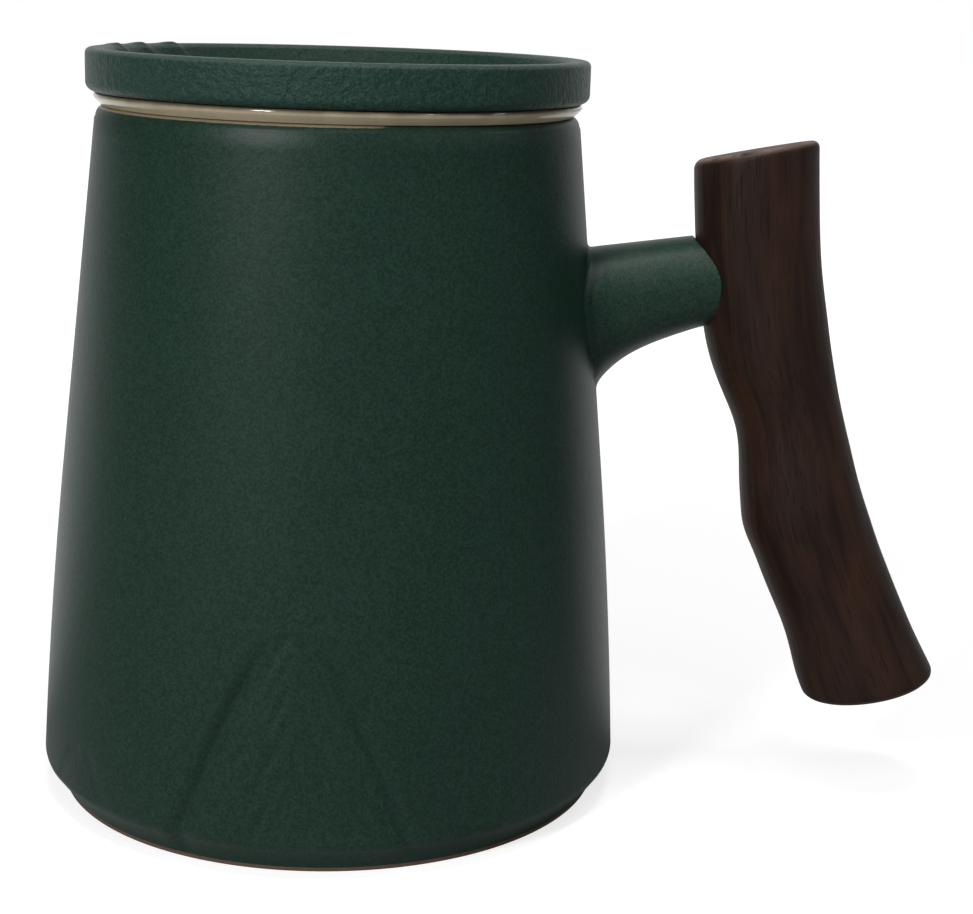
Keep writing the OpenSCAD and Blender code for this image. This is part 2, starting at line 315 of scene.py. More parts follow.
def ring_of(bm, sides, placing):
    """A ring of vertices, placed by a matrix, as its vertices and its edges."""
    made = bmesh.ops.create_circle(bm, cap_ends=False, segments=sides, radius=1, matrix=placing)
    verts = made["verts"]
    edges = list(dict.fromkeys(e for v in verts for e in v.link_edges))
    return verts, edges


def rod(bm, radius, start, end, axis, sides):
    """A round bar between two distances along an axis, given as a point and a direction."""
    point, direction = axis
    turn = Vector((0, 0, 1)).rotation_difference(direction).to_matrix().to_4x4()
    middle = Matrix.Translation(point + direction * (start + end) / 2)
    bmesh.ops.create_cone(
        bm,
        cap_ends=True,
        segments=sides,
        radius1=radius,
        radius2=radius,
        depth=end - start,
        matrix=middle @ turn,
    )


def to_object(bm, name):
    """A new object at the origin, which takes over a mesh."""
    mesh = bpy.data.meshes.new(name)
    bm.to_mesh(mesh)
    bm.free()
    made = bpy.data.objects.new(name, mesh)
    scene.collection.objects.link(made)
    return made


def combine(kept, tool, operation):
    """Joins or cuts one object by another, which is used up."""
    modifier = kept.modifiers.new("combine", "BOOLEAN")
    modifier.object = tool
    modifier.operation = operation
    modifier.solver = "EXACT"
    depsgraph = bpy.context.evaluated_depsgraph_get()
    result = bpy.data.meshes.new_from_object(kept.evaluated_get(depsgraph))
    kept.modifiers.clear()
    spent = kept.data
    kept.data = result
    bpy.data.meshes.remove(spent)
    bpy.data.objects.remove(tool)


def sort_by(elements, place):
    """Puts a mesh's vertices, edges or faces in the order of a value that each has."""
    ranks = {element: rank for rank, element in enumerate(sorted(elements, key=place))}
    elements.sort(key=lambda element: ranks[element])
    elements.index_update()


def reopen(made):
    """An object's mesh, ready to be worked on again, its parts in the same order in every run."""
    bm = bmesh.new()
    bm.from_mesh(made.data)
    sort_by(bm.verts, lambda v: tuple(v.co))
    sort_by(bm.edges, lambda e: sorted(v.index for v in e.verts))
    sort_by(bm.faces, lambda f: sorted(v.index for v in f.verts))
    return bm


SHARP_CREASE = math.radians(40)


def one_material(point):
    return 0


def finish_piece(made, bm, body, node, materials, which):
    """Brings a mesh to metres, gives each face its material, and puts the piece on its body.

    which gives a material's place among the materials for the middle of a face, in millimetres.
    """
    made.data.materials.clear()
    for material in materials:
        made.data.materials.append(material)
    for face in bm.faces:
        face.smooth = True
        face.material_index = which(face.calc_center_median())
    bmesh.ops.scale(bm, vec=(MM, MM, MM), verts=bm.verts)
    bm.to_mesh(made.data)
    bm.free()
    made.data.set_sharp_from_angle(angle=SHARP_CREASE)
    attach(made, body)
    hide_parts(node)


# ---------------------------------------------------------------- tools for materials


class Value:
    """An output of a node. Arithmetic on it adds Math nodes."""

    def __init__(self, nodes, socket):
        self.nodes = nodes
        self.socket = socket

    def out(self, name):
        """Another output of the same node."""
        return Value(self.nodes, self.socket.node.outputs[name])

    def maths(self, operation, *inputs):
        return self.nodes.node("ShaderNodeMath", {"operation": operation}, dict(enumerate(inputs)))

    def __add__(self, other):
        return self.maths("ADD", self, other)

    __radd__ = __add__

    def __sub__(self, other):
        return self.maths("SUBTRACT", self, other)

    def __rsub__(self, other):
        return self.maths("SUBTRACT", other, self)

    def __mul__(self, other):
        return self.maths("MULTIPLY", self, other)

    __rmul__ = __mul__

    def __truediv__(self, other):
        return self.maths("DIVIDE", self, other)

    def __pow__(self, other):
        return self.maths("POWER", self, other)

    def __abs__(self):
        return self.maths("ABSOLUTE", self)

    def larger(self, other):
        return self.maths("MAXIMUM", self, other)

    def sine(self):
        return self.maths("SINE", self)


class Nodes:
    """The node tree of a material or of the world."""

    def __init__(self, owner):
        owner.use_nodes = True
        self.tree = owner.node_tree
        self.tree.nodes.clear()

    def node(self, kind, settings=None, inputs=None, output=0):
        """Adds a node: its settings first, then its sockets' values or links."""
        made = self.tree.nodes.new(kind)
        for name, setting in (settings or {}).items():
            setattr(made, name, setting)
        for name, value in (inputs or {}).items():
            if isinstance(value, Value):
                self.tree.links.new(value.socket, made.inputs[name])
            else:
                made.inputs[name].default_value = value
        return Value(self, made.outputs[output]) if made.outputs else None

    def place(self):
        """Where the point lies on the piece, in metres."""
        return self.node("ShaderNodeTexCoord").out("Object")

    def split(self, vector):
        """The X, Y and Z of a vector."""
        x = self.node("ShaderNodeSeparateXYZ", {}, {"Vector": vector})
        return x, x.out("Y"), x.out("Z")

    def stretched(self, vector, scale):
        return self.node(
            "ShaderNodeVectorMath", {"operation": "MULTIPLY"}, {0: vector, 1: scale}
        )

    def grain(self, vector, size, detail=2.0, roughness=0.5, distortion=0.0):
        """Noise between 0 and 1 whose blotches are about size metres across."""
        return self.node(
            "ShaderNodeTexNoise",
            {},
            {
                "Vector": vector,
                "Scale": 1 / size,
                "Detail": detail,
                "Roughness": roughness,
                "Distortion": distortion,
            },
        )

    def between(self, value, low, high):
        """Goes smoothly from 0 at low to 1 at high."""
        return self.node(
            "ShaderNodeMapRange",
            {"interpolation_type": "SMOOTHSTEP"},
            {"Value": value, "From Min": low, "From Max": high},
        )

    def blend(self, share, first, second):
        """A colour between two."""
        return self.mixed({"data_type": "RGBA"}, share, first, second)

    def multiplied(self, first, second):
        """Two colours multiplied by each other."""
        return self.mixed({"data_type": "RGBA", "blend_type": "MULTIPLY"}, 1.0, first, second)

    def mixed(self, settings, share, first, second):
        """A Mix node of colours, whose colour sockets are its seventh, its eighth and its third."""
        return self.node("ShaderNodeMix", settings, {0: share, 6: first, 7: second}, output=2)

    def bumped(self, height, depth, under=None):
        """Normals of a surface whose height, from 0 to 1, is depth metres."""
        inputs = {"Height": height, "Distance": depth, "Strength": 1.0}
        if under:
            inputs["Normal"] = under
        return self.node("ShaderNodeBump", {}, inputs)

    def surface(self, inputs):
        """Ends the tree in one Principled surface."""
        shader = self.node("ShaderNodeBsdfPrincipled", {}, inputs)
        self.node("ShaderNodeOutputMaterial", {}, {"Surface": shader})


def colour(red, green, blue):
    return (red, green, blue, 1.0)


def new_material(name):
    material = bpy.data.materials.new(name)
    return material, Nodes(material)


# ---------------------------------------------------------------- materials

WHITE = colour(1, 1, 1)
GREEN_DEEP = colour(0.0064, 0.0222, 0.0148)
GREEN_PALE = colour(0.0150, 0.0410, 0.0292)
# pale edge line: partly thin glaze, partly a painted highlight
GREEN_EDGE = colour(0.0400, 0.0700, 0.0550)
# painted highlight: the neck is made paler, as a broad sheen from above lights it
NECK_PAINTED_HIGHLIGHT = colour(1.40, 1.18, 1.20)
# painted shade on the lid's top and painted light on its side
LID_TOP_PAINTED_SHADE = colour(0.82, 0.95, 0.92)
LID_SIDE_PAINTED_LIGHT = colour(1.40, 1.40, 1.50)
TAN = colour(0.475, 0.408, 0.280)
TAN_DEEP = colour(0.300, 0.240, 0.150)
# colour of the painted shade on the flange's upper edge, under the lid's overhang
TAN_PAINTED_SHADE = colour(0.060, 0.045, 0.028)
CLAY = colour(0.105, 0.054, 0.036)
CLAY_PALE = colour(0.175, 0.110, 0.080)
WOOD_DARK = colour(0.0115, 0.0056, 0.0038)
WOOD_MID = colour(0.0325, 0.0158, 0.0102)
WOOD_RED = colour(0.0520, 0.0204, 0.0106)
# pale line inside the grip's ends: worn wood and a painted highlight
WOOD_END = colour(0.180, 0.1150, 0.0860)
STEEL = colour(0.50, 0.50, 0.51)
STEEL_PALE = colour(0.62, 0.62, 0.63)
CEMENT = colour(0.022, 0.018, 0.014)
CEMENT_PALE = colour(0.045, 0.038, 0.031)
PAPER = colour(0.40, 0.40, 0.40)
YEAR_RING_PITCH = 0.0013  # in metres


def matte_green(name, coarse, wave, fine, inner_shade_tint, side_light_tint, edge_z, thin_glaze_and_highlight, lip_line):
    """Powdery green glaze, with a pale edge line at a height and a tan line along the cup's lip.

    coarse and fine are the depths of its waves and of its powder, and wave is a wave's width, in
    metres. thin_glaze_and_highlight sets the edge line, partly thin glaze and partly a painted
    highlight, and lip_line the lip's line. inner_shade_tint and side_light_tint paint shade and
    light, and the neck is painted paler, as a highlight.
    """
    material, n = new_material(name)
    place = n.place()
    x, y, z = n.split(place)
    cloud = n.grain(place, 0.016, detail=3)
    powder = n.grain(place, 0.00045, detail=3, roughness=0.8)
    grit = n.grain(place, 0.0011, detail=2)
    skin_wave = n.grain(place, wave, detail=3, roughness=0.6)
    share = cloud * 0.35 + (powder - 0.5) * 5.0 + (grit - 0.5) * 1.1 + 0.28
    green = n.blend(share, GREEN_DEEP, GREEN_PALE)
    # Painted light and shade: out from 42 mm the lid's side is paler, inside it the top is darker;
    # both are white on the cup.
    outer = n.between((x * x + y * y) ** 0.5, 0.0420, 0.0438)
    green = n.multiplied(green, n.blend(outer, inner_shade_tint, side_light_tint))
    # Painted highlight: a paler neck, where light from above falls on it.
    on_neck = n.between(x, 0.047, 0.056) * n.between(z, 0.066, 0.076)
    green = n.multiplied(green, n.blend(on_neck, WHITE, NECK_PAINTED_HIGHLIGHT))
    # A pale line along the edge at edge_z: partly thin glaze, partly a painted highlight where the
    # edge catches the light.
    brink = n.between(abs(z - edge_z * MM), 0.0005, 0.0001)
    green = n.blend(brink * cloud * thin_glaze_and_highlight, green, GREEN_EDGE)
    # A ragged tan line along the cup's lip, on the side towards -X only.
    lip_z = CUP_H * MM
    lip = n.between(z, lip_z - 0.0007, lip_z - 0.0003)
    lip = lip * n.between(z, lip_z + 0.0006, lip_z + 0.0003)
    on_minus_x_side = n.between(n.grain(place, 0.035, detail=1) * 0.03 - x, -0.006, 0.020)
    ragged = n.between(lip * on_minus_x_side + (grit - 0.5) * 0.5, 0.35, 0.75)
    tone = n.blend(ragged * lip_line, green, TAN_DEEP)
    skin = n.bumped(powder * 0.6 + grit * 0.4, fine)
    n.surface(
        {
            "Base Color": tone,
            "Roughness": 0.36 + powder * 0.10 + cloud * 0.04,
            "Normal": n.bumped(skin_wave, coarse, skin),
            "Specular IOR Level": 0.2,
        }
    )
    return material


def cup_green():
    """Fine and even, a faint pale bevel line of thin glaze and painted highlight, a tan line on the
    lip's -X side.
    """
    return matte_green(
        "matte_green_cup",
        coarse=0.00004,
        wave=0.0026,
        fine=0.00006,
        inner_shade_tint=WHITE,
        side_light_tint=WHITE,
        edge_z=BEVEL_Z,
        thin_glaze_and_highlight=0.05,
        lip_line=0.75,
    )


def lid_green():
    """Rougher, with painted light on its side and painted shade on its top, and a pale line along
    its rim.
    """
    return matte_green(
        "matte_green_lid",
        coarse=0.00034,
        wave=0.0011,
        fine=0.00024,
        inner_shade_tint=LID_TOP_PAINTED_SHADE,
        side_light_tint=LID_SIDE_PAINTED_LIGHT,
        edge_z=LID_TOP_Z - RIM_LINE_DROP,
        thin_glaze_and_highlight=1.8,
        lip_line=0,
    )


def glossy_tan():
    """Smooth tan glaze of infuser and cup's inside, with painted shade along the flange's top edge.
    """
    material, n = new_material("tan_glaze")
    place = n.place()
    cloud = n.grain(place, 0.006, detail=3)
    speck = n.between(n.grain(place, 0.0006, detail=1), 0.70, 0.78)
    tone = n.blend(n.between(cloud, 0.3, 0.75) * 0.4, TAN, TAN_DEEP)
    tone = n.blend(speck * 0.5, tone, TAN_DEEP)
    x, y, z = n.split(place)
    # Painted shade: the flange's upper edge is darkened where the lid's overhang shades it.
    flange_z = LID_Z * MM
    brink = n.between(z + (cloud - 0.5) * 0.0006, flange_z - 0.0011, flange_z - 0.0002)
    brink = brink * n.between((x * x + y * y) ** 0.5, 0.0405, 0.0415)
    tone = n.blend(brink * 0.92, tone, TAN_PAINTED_SHADE)
    n.surface(
        {
            "Base Color": tone,
            "Roughness": 0.06 + cloud * 0.06,
            "Normal": n.bumped(n.grain(place, 0.0030, detail=2), 0.00002),
            "Specular IOR Level": 0.4,
        }
    )
    return material


def bare_clay():
    """Unglazed foot."""
    material, n = new_material("bare_clay")
    place = n.place()
    sand = n.grain(place, 0.0007, detail=3, roughness=0.7)
    cloud = n.grain(place, 0.012, detail=2)
    n.surface(
        {
            "Base Color": n.blend(sand * 0.6 + cloud * 0.3, CLAY, CLAY_PALE),
            "Roughness": 0.80 + sand * 0.15,
            "Normal": n.bumped(sand, 0.00008),
        }
    )
    return material


def grain_place(n):
    """Where the point lies in the branch as if it were straight: across, deep, along, in metres."""
    return n.node("ShaderNodeAttribute", {"attribute_name": "grain"}).out("Vector")


def dark_wood():
    """Oiled dark wood, its fibres running along the branch."""
    material, n = new_material("dark_wood")
    place = grain_place(n)
    wavering = n.grain(n.stretched(place, (1, 1, 0.12)), 0.004, detail=2, distortion=0.6)
    fibre = n.grain(n.stretched(place, (1, 1, 0.035)), 0.0007, detail=4, roughness=0.65)
    streak = n.grain(n.stretched(place, (1, 1, 0.09)), 0.0024, detail=3, distortion=0.8)
    patch = n.grain(n.stretched(place, (1, 1, 0.45)), 0.011, detail=3)
    pore = n.between(n.grain(n.stretched(place, (1, 1, 0.05)), 0.0004, detail=1), 0.62, 0.72)
    tone = n.blend(n.between(streak * 0.5 + wavering * 0.5, 0.28, 0.72), WOOD_DARK, WOOD_MID)
    tone = n.blend(n.between(patch * 0.75 + streak * 0.25, 0.46, 0.70) * 0.7, tone, WOOD_RED)
    tone = n.blend(fibre * 0.35, tone, WOOD_DARK)
    tone = n.blend(pore * 0.7, tone, WOOD_DARK)
    n.surface(
        {
            "Base Color": tone,
            "Roughness": 0.46 + fibre * 0.16 + pore * 0.1,
            "Normal": n.bumped(fibre * 0.7 - pore * 0.6 + streak * 0.5, 0.00012),
            "Specular IOR Level": 0.18,
        }
    )
    return material


def end_grain():
    """The branch's sawn and sanded ends: rings round its pith, and a paler line of wear and painted
    highlight.
    """
    material, n = new_material("end_grain")
    place = grain_place(n)
    across, deep, _ = n.split(place)
    wander = n.grain(place, 0.005, detail=2)
    from_pith = (across * across + deep * deep) ** 0.5 + wander * 0.0012
    ring = (from_pith * (2 * math.pi / YEAR_RING_PITCH)).sine()
    pore = n.between(n.grain(place, 0.00035, detail=1), 0.60, 0.70)
    tone = n.blend(n.between(ring, -0.6, 0.9) * 0.5 + wander * 0.4, WOOD_MID, WOOD_RED)
    tone = n.blend(pore * 0.7, tone, WOOD_DARK)
    # A pale line inside the end's edge: partly worn wood, partly a painted highlight where the edge
    # catches light.
    rim = (GRIP_R - END_GRAIN_T) * MM + (wander - 0.5) * 0.0010
    worn_and_lit_line = n.between(from_pith, rim - 0.0004, rim)
    worn_and_lit_line = worn_and_lit_line * n.between(from_pith, rim + 0.0012, rim + 0.0007)
    tone = n.blend(worn_and_lit_line * n.between(wander, 0.32, 0.50) * 0.9, tone, WOOD_END)
    n.surface(
        {
            "Base Color": tone,
            "Roughness": 0.55 + wander * 0.15,
            "Normal": n.bumped(ring * 0.3 - pore, 0.00005),
        }
    )
    return material


def stud_metal():
    """Bright drawn steel."""
    material, n = new_material("stud_metal")
    place = n.place()
    scratch = n.grain(n.stretched(place, (0.1, 1, 1)), 0.0003, detail=2)
    n.surface(
        {
            "Base Color": n.blend(scratch, STEEL, STEEL_PALE),
            "Metallic": 1.0,
            "Roughness": 0.25 + scratch * 0.15,
            "Normal": n.bumped(scratch, 0.00001),
        }
    )
    return material


def hard_cement():
    """Dark, sandy cement."""
    material, n = new_material("hard_cement")
    sand = n.grain(n.place(), 0.0004, detail=3, roughness=0.7)
    n.surface(
        {
            "Base Color": n.blend(sand, CEMENT, CEMENT_PALE),
            "Roughness": 0.80 + sand * 0.15,
            "Normal": n.bumped(sand, 0.00006),
        }
    )
    return material


# ---------------------------------------------------------------- cup


def carving(direction, z):
    """Depth of the carved mountains at a direction and a height, in millimetres."""
    depth = 0.0
    for centre, peak, half_width, arches in MOUNTAINS:
        u = math.radians(turned_from(direction, centre)) * BASE_R
        t = (peak - z) / (peak - CARVE_FOOT)
        if t <= 0 or abs(u) > half_width + CARVE_SIDE:
            continue
        side = max(-1.0, min(1.0, u / MIDDLE_W))
        u = u + WAVER * noise.noise(Vector((centre, z / WAVER_PITCH, 0.3 * side)))
        flank = half_width * t**FLANK_POWER
        fullness = rise(half_width / FULL_HALF_W) ** 3
        end = rise((z - BEVEL_Z / 3) / (BEVEL_Z / 2))
        outside = abs(u) - flank
        if outside > 0 or side > 0:
            edge = bell(outside / OUTLINE_CUT_W)
        else:
            edge = sum(share * bell(outside / width) for share, width in SOFT_OUTLINE_CUTS)
        edge = (1.0 - 0.2 * side) * edge * rise((t - 0.05) / 0.32)
        depth += (LEAST_DEPTH + OUTLINE_DEPTH * fullness) * edge * end
        for k in range(1, arches + 1):
            inner = flank - k * ARCH_PITCH * min(1.0, half_width / ARCH_FULL_HALF_W)
            starts = rise((inner + 0.6) / (1.6 + 0.8 * (k % 3)))
            place = Vector((centre + 3.1 * k, z / ARCH_UNEVEN_PITCH, side))
            uneven = 0.75 + 0.9 * noise.noise(place)
            arch = bell((abs(u) - inner) / ARCH_CUT_W) * starts * uneven
            depth += (LEAST_DEPTH + ARCH_DEPTH * fullness) * arch * end
    return depth


def in_mountain_window(point):
    direction = direction_of(point)
    for centre, peak, half_width, _ in MOUNTAINS:
        reach = math.degrees((half_width + CARVE_SIDE + 1) / BASE_R)
        if abs(turned_from(direction, centre)) < reach and point.z < peak + 1:
            return BEVEL_Z + 0.3 < point.z
    return False


def on_outer_wall(point):
    return BEVEL_Z + 0.2 < point.z < WALL_TOP_Z and off_axis(point) > mid_wall_r(point.z)


def refine(bm, wanted, cuts=2):
    """Divides the outer wall's faces that are wanted, and lays them back on the wall's round."""
    faces = [
        f
        for f in bm.faces
        if all(on_outer_wall(v.co) for v in f.verts) and wanted(f.calc_center_median())
    ]
    edges = list(dict.fromkeys(e for f in faces for e in f.edges))
    bmesh.ops.subdivide_edges(bm, edges=edges, cuts=cuts, use_grid_fill=True)
    for v in bm.verts:
        if on_outer_wall(v.co) and wanted(v.co):
            ratio = cup_r(v.co.z) / off_axis(v.co)
            v.co.x *= ratio
            v.co.y *= ratio


def cup_profile():
    inner_lip_r = LIP_R - CUP_WALL
    corner_z = CUP_FLOOR + CUP_CORNER_R
    corner_r = cup_r(corner_z) - CUP_WALL - CUP_CORNER_R
    outside = [(0, 0), (FOOT_R * 0.5, 0)]
    outside += quarter(FOOT_R - FOOT_ROUND, FOOT_ROUND, FOOT_ROUND, -90, 0, pitch=0.2)
    outside += [(FOOT_R, FOOT_H)]
    outside += [(cup_r(z), z) for z in steps(BEVEL_Z, CARVE_TOP, pitch=1.2)]
    outside += [(cup_r(z), z) for z in steps(CARVE_TOP, WALL_TOP_Z, pitch=2.4)[1:]]
    lip_z = CUP_H - LIP_ROUND
    lip_in_z = CUP_H - LIP_ROUND_IN
    lip = quarter(LIP_R - LIP_ROUND, lip_z, LIP_ROUND, 4, 90, pitch=0.35)
    lip += quarter(inner_lip_r + LIP_ROUND_IN, lip_in_z, LIP_ROUND_IN, 90, 180, pitch=0.35)
    inside = [(cup_r(z) - CUP_WALL, z) for z in steps(CUP_H - 3, corner_z, pitch=4)]
    inside += quarter(corner_r, corner_z, CUP_CORNER_R, 0, -90, pitch=1.5)[1:]
    inside += [(r, CUP_FLOOR) for r in steps(corner_r, 0, pitch=8)[1:]]
    return outside + lip + inside


def neck_flare(x):
    """How far the flare deepens the neck at a distance from the mug's axis."""
    return FLARE_D * math.exp(-max(0.0, x - NECK_ROOT_X - FLARE_LEN * FLARE_HOLD) / FLARE_LEN)


def neck_ring(bm, x):
    """One ring of the neck. The flare deepens its lower half."""
    back = max(0.0, SEAT_X - x)
    flare = neck_flare(x)
    half_h = NECK_H / 2 + back * NECK_TAPER
    half_w = NECK_W / 2 + back * NECK_TAPER * SIDE_TAPER + flare * FLARE_SIDE
    middle = Vector((x, 0, NECK_Z - (SEAT_X - x) * math.tan(NECK_RISE)))
    axes = Matrix(((0, 0, 1, 0), (half_w, 0, 0, 0), (0, half_h, 0, 0), (0, 0, 0, 1)))
    verts, edges = ring_of(bm, NECK_SIDES, Matrix.Translation(middle) @ axes)
    for v in verts:
        below = max(0.0, (middle.z - v.co.z) / half_h)
        v.co.z -= below * flare
    return edges


NECK_LINE = (Vector((0, 0, NECK_Z)), Vector((1, 0, 0)))
SEAT_LINE = (
    Vector((GRIP_X, 0, NECK_Z)),
    Vector((-math.sin(GRIP_LEAN), 0, math.cos(GRIP_LEAN))),
)


def bar(name, radius, start, end, axis):
    bm = bmesh.new()
    rod(bm, radius, start, end, axis, NECK_SIDES)
    return to_object(bm, name)


def neck():
    """The cup's neck, coped to the grip and bored for its stud."""
    bm = bmesh.new()
    layer = bm.verts.layers.float_vector.new("grain")
    flared_x = NECK_ROOT_X + FLARED_LEN
    near = steps(NECK_ROOT_X - CUP_WALL / 2, flared_x, pitch=0.55)
    far = steps(flared_x, SEAT_X + GRIP_R / 2, pitch=0.9)[1:]
    skin(bm, [neck_ring(bm, x) for x in near + far], layer)
    made = to_object(bm, "neck")
    seat = bar("seat", GRIP_R + BOND_T, -SEAT_REACH, SEAT_REACH, SEAT_LINE)
    combine(made, seat, "DIFFERENCE")
    bore = bar("bore", NECK_BORE_R, SEAT_X - STUD_IN_NECK, GRIP_X, NECK_LINE)
    combine(made, bore, "DIFFERENCE")
    return made


def near_neck(point):
    low, high = NECK_ZONE_Z
    return point.x > 0 and abs(point.y) < NECK_ZONE_W and low < point.z < high


def at_neck_root(edge):
    point = edge.verts[0].co
    return (
        len(edge.link_faces) == 2
        and near_neck(point)
        and off_axis(point) < NECK_ROOT_X + ROOT_REACH
        and edge.calc_face_angle(0) > ROOT_CREASE
        and on_outer_wall(point)
        and abs(off_axis(point) - cup_r(point.z)) < 0.05
    )


def soften_neck_root(bm, rounds=10):
    """Rounds the inner corner between neck and wall, as glaze does."""
    bmesh.ops.remove_doubles(bm, verts=bm.verts, dist=0.03)
    corner = [e for e in bm.edges if at_neck_root(e)]
    points = list(dict.fromkeys(v for e in corner for v in e.verts))
    tree = KDTree(len(points))
    for i, v in enumerate(points):
        tree.insert(v.co, i)
    tree.balance()
    close = [v for v in bm.verts if near_neck(v.co) and tree.find(v.co)[2] < ROOT_ROUND]
    for _ in range(rounds):
        bmesh.ops.smooth_vert(
            bm, verts=close, factor=0.5, use_axis_x=True, use_axis_y=True, use_axis_z=True
        )


def carve(bm):
    """Presses the mountains into the lower part of the cup's outer wall."""
    for v in bm.verts:
        if FOOT_H < v.co.z < CARVE_TOP and off_axis(v.co) > mid_wall_r(v.co.z):
            depth = carving(direction_of(v.co), v.co.z)
            if depth:
                v.co -= Vector((v.co.x, v.co.y, 0)).normalized() * depth


def cup_material(point):
    """0 for the green glaze, 1 for the bare foot, 2 for the tan inside."""
    if point.z < FOOT_H and off_axis(point) < FOOT_R + 1:
        return 1
    return 2 if point.z > CUP_FLOOR - 1 and off_axis(point) < mid_wall_r(point.z) else 0


def cup():
    bm = bmesh.new()
    revolve(bm, cup_profile(), CUP_SIDES)
    edge = [
        e
        for e in bm.edges
        if all(abs(v.co.z - BEVEL_Z) < 0.01 and off_axis(v.co) > FOOT_R for v in e.verts)
    ]
    bmesh.ops.bevel(
        bm,
        geom=edge,
        offset=BEVEL_ROUND,
        offset_type="OFFSET",
        affect="EDGES",
        segments=4,
        profile=0.5,
        material=-1,
    )
    refine(bm, near_neck)
    made = to_object(bm, "cup")
    combine(made, neck(), "UNION")
    bm = reopen(made)
    soften_neck_root(bm)
    refine(bm, in_mountain_window)
    carve(bm)
    materials = (cup_green(), bare_clay(), TAN_GLAZE)
    finish_piece(made, bm, "cup", "cup_body", materials, cup_material)


# ---------------------------------------------------------------- grip


def swell(s):
    """How much thicker the branch is at s from its top."""
    return sum(height * bell((s - at) / reach) for at, reach, height in SWELLS)


def grip_frame(s):
    """The branch's middle, half thickness, lean and tilt of its cut, at s from its top."""
    half_swell = swell(s) / 2
    lean = GRIP_LEAN + (s - GRIP_ABOVE) / GRIP_BEND_R
    bend_x = GRIP_BEND_R * (math.cos(GRIP_LEAN) - math.cos(lean))
    bend_z = GRIP_BEND_R * (math.sin(lean) - math.sin(GRIP_LEAN))
    x = GRIP_X + bend_x - half_swell * math.cos(lean)
    z = NECK_Z - bend_z - half_swell * math.sin(lean)
    lean_top = GRIP_LEAN - GRIP_ABOVE / GRIP_BEND_R
    lean_toe = GRIP_LEAN + (GRIP_LEN - GRIP_ABOVE) / GRIP_BEND_R
    tilt = (
        lean
        + (TOP_CUT - lean_top) * fade(s / CUT_FADE)
        + (TOE_CUT - lean_toe) * fade((GRIP_LEN - s) / CUT_FADE)
    )
    return Vector((x, 0, z)), GRIP_R + half_swell, lean, tilt


def side_slope(s):
    """Slope from side to side of the branch's cut at s from its top."""
    return math.tan(TOP_SIDE_CUT) * fade(s / CUT_FADE)


def hewn(turn, s):
    """How deep the branch is shaved at an angle round it and at s from its top."""
    wide = noise.noise(Vector((1.3 * math.cos(turn), 1.3 * math.sin(turn), s / HEWN_PITCH)))
    fine = noise.noise(Vector((3.0 * math.cos(turn), 3.0 * math.sin(turn), s / RIPPLE_PITCH + 40)))
    return max(0.0, SHAVED_DEPTH + HEWN_DEPTH * wide + RIPPLE_DEPTH * fine)


def grip_ring(bm, layer, s, inset):
    """One ring of the branch, with its place along the grain kept at each vertex."""
    middle, radius, lean, tilt = grip_frame(s)
    chord = radius / math.cos(tilt - lean) - inset
    reach = radius - inset
    axes = Matrix(
        (
            (chord * math.cos(tilt), 0, math.sin(tilt), 0),
            (0, reach, 0, 0),
            (chord * math.sin(tilt), -reach * side_slope(s), -math.cos(tilt), 0),
            (0, 0, 0, 1),
        )
    )
    verts, edges = ring_of(bm, GRIP_SIDES, Matrix.Translation(middle) @ axes)
    seat = math.exp(-(((s - GRIP_ABOVE) / SEAT_HALF_LEN) ** 4))
    for v in verts:
        out = v.co - middle
        turn = math.atan2(out.y / reach, out.x / (chord * math.cos(tilt)))
        along = s + out.dot(Vector((math.sin(lean), 0, -math.cos(lean))))
        v[layer] = Vector((reach * math.cos(turn), reach * math.sin(turn), along)) * MM
        facing_neck = seat * rise((-math.cos(turn) - 0.1) / 0.5)
        v.co -= out.normalized() * hewn(turn, s) * (1 - facing_neck) * rise(reach / radius)
    return edges


def grip_material(point):
    """0 for the branch's side, 1 for its two ends."""
    for s, sign in ((0.0, 1), (GRIP_LEN, -1)):
        middle, _, _, tilt = grip_frame(s)
        out = point - middle + Vector((0, 0, point.y * side_slope(s)))
        if out.dot(Vector((math.sin(tilt), 0, -math.cos(tilt)))) * sign < END_GRAIN_T:
            return 1
    return 0


def grip():
    bm = bmesh.new()
    layer = bm.verts.layers.float_vector.new("grain")
    corner = quarter(GRIP_ROUND, GRIP_ROUND, GRIP_ROUND, 180, 270, pitch=0.4)
    toe = [(GRIP_LEN - s, inset) for s, inset in reversed(corner)]
    body = [(s, 0.0) for s in steps(GRIP_ROUND, GRIP_LEN - GRIP_ROUND, pitch=0.8)[1:-1]]
    skin(bm, [grip_ring(bm, layer, s, inset) for s, inset in corner + body + toe], layer)
    made = to_object(bm, "grip")
    hole = bar("stud_hole", STUD_R, SEAT_X - GRIP_R, SEAT_X + STUD_IN_WOOD, NECK_LINE)
    combine(made, hole, "DIFFERENCE")
    materials = (dark_wood(), end_grain())
    finish_piece(made, reopen(made), "cup", "handle_grip", materials, grip_material)


# ---------------------------------------------------------------- infuser


def wall_r(z):
    """Outer radius of the basket at height z."""
    return BASKET_R - (CUP_H - z) * INFUSER_DRAFT


